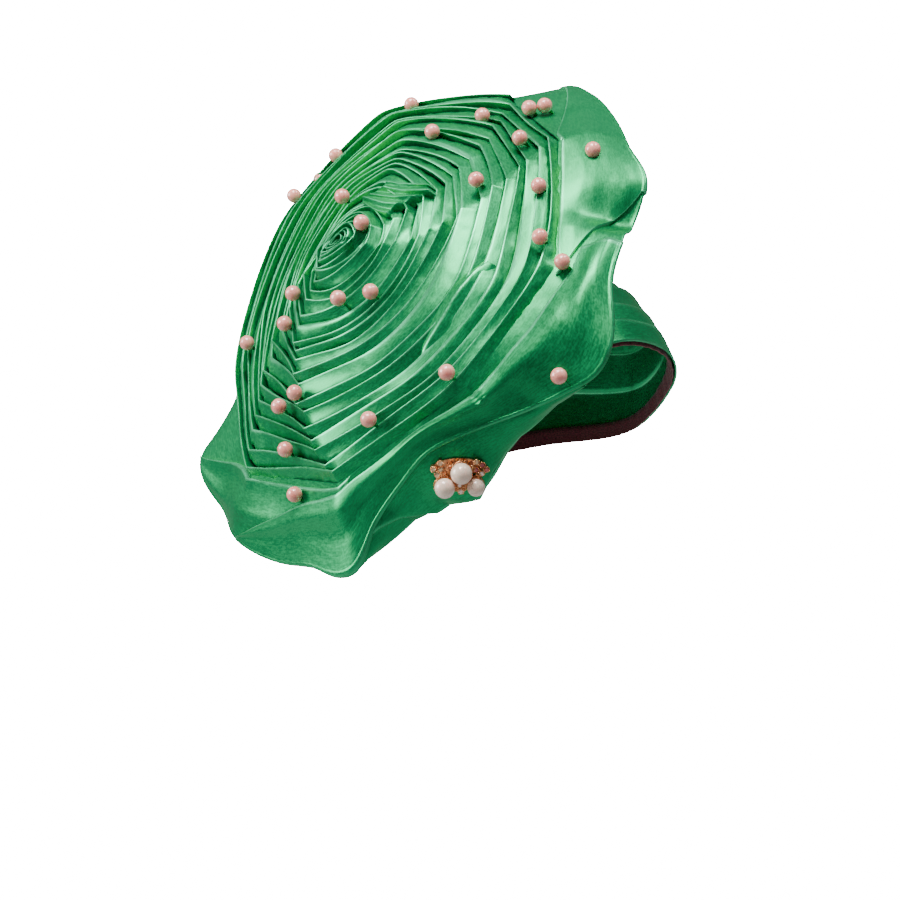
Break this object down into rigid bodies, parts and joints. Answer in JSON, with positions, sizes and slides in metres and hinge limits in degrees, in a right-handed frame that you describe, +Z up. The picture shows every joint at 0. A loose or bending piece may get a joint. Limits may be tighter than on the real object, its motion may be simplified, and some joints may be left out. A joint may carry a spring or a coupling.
{
  "type": "tied gele head tie",
  "caption": "Ready-tied satin gele: a close cap, a wide fluted brim and a spiral pleated rosette on the right side, with scattered pearls and a brooch at the temple.",
  "frame": {"origin": "centre of the head opening, level with the wearer's upper ears", "axes": "+Z up along the head, the wearer faces -Y and the wearer's right is -X"},
  "size_m": [0.2401, 0.2948, 0.234],
  "materials": {
    "satin": "glossy green satin",
    "pleated_satin": "glossy green satin with sharp pressed folds",
    "lining": "matt wine lining",
    "pink_pearl": "pearl",
    "white_pearl": "pearl",
    "rose_gold": "polished",
    "crystal": "cut and clear"
  },
  "bodies": {
    "root": {"head_cap": "satin", "brim": "satin", "temple_panel": "satin", "cap_lining": "lining", "rosette_bud": "pleated_satin", "rosette_inner_pleats": "pleated_satin", "rosette_middle_pleats": "pleated_satin", "rosette_outer_pleats": "pleated_satin", "pearl_01": "pink_pearl", "pearl_02": "pink_pearl", "pearl_03": "pink_pearl", "pearl_04": "pink_pearl", "pearl_05": "pink_pearl", "pearl_06": "pink_pearl", "pearl_07": "pink_pearl", "pearl_08": "pink_pearl", "pearl_09": "pink_pearl", "pearl_10": "pink_pearl", "pearl_11": "pink_pearl", "pearl_12": "pink_pearl", "pearl_13": "pink_pearl", "pearl_14": "pink_pearl", "pearl_15": "pink_pearl", "pearl_16": "pink_pearl", "pearl_17": "pink_pearl", "pearl_18": "pink_pearl", "pearl_19": "pink_pearl", "pearl_20": "pink_pearl", "pearl_21": "pink_pearl", "pearl_22": "pink_pearl", "pearl_23": "pink_pearl", "pearl_24": "pink_pearl", "pearl_25": "pink_pearl", "pearl_26": "pink_pearl", "pearl_27": "pink_pearl", "pearl_28": "pink_pearl", "brooch_setting": "rose_gold", "brooch_pearl_top": "white_pearl", "brooch_pearl_left": "white_pearl", "brooch_pearl_right": "white_pearl", "brooch_stone_01": "crystal", "brooch_stone_02": "crystal", "brooch_stone_03": "crystal", "brooch_stone_04": "crystal", "brooch_stone_05": "crystal", "brooch_stone_06": "crystal", "brooch_stone_07": "crystal", "brooch_stone_08": "crystal", "brooch_stone_09": "crystal", "brooch_stone_10": "crystal", "brooch_stone_11": "crystal"}
  },
  "joints": []
}
